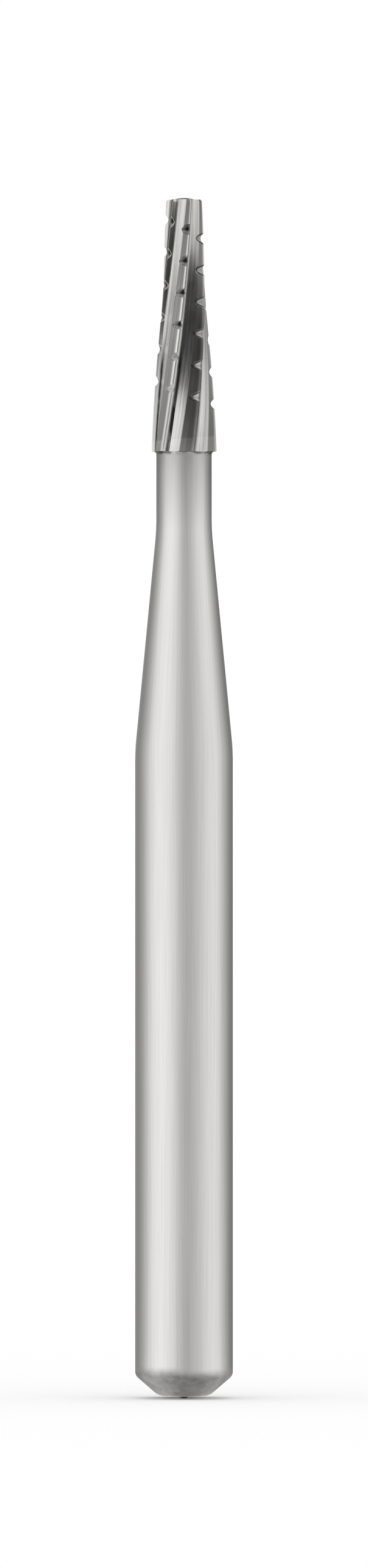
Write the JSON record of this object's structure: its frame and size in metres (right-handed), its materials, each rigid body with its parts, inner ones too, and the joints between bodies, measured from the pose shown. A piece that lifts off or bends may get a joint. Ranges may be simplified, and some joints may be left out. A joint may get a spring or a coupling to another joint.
{
  "type": "dental bur",
  "caption": "Tapered crosscut fissure bur: a fluted carbide cutting head on a slim neck, a long cone and a plain round steel shank for a friction grip",
  "frame": {"origin": "on the bur's axis at the lowest point of the shank end", "axes": "+Z runs along the axis from the shank end to the cutting tip; -Y faces the viewer of the picture"},
  "size_m": [0.0016, 0.0016, 0.0196],
  "materials": {
    "carbide": "ground cemented carbide, fine grinding lines along the flutes",
    "steel": "satin centreless-ground stainless steel, matt at the chamfered end"
  },
  "bodies": {
    "root": {"carbide_head": "carbide", "steel_shank": "steel"}
  },
  "joints": []
}
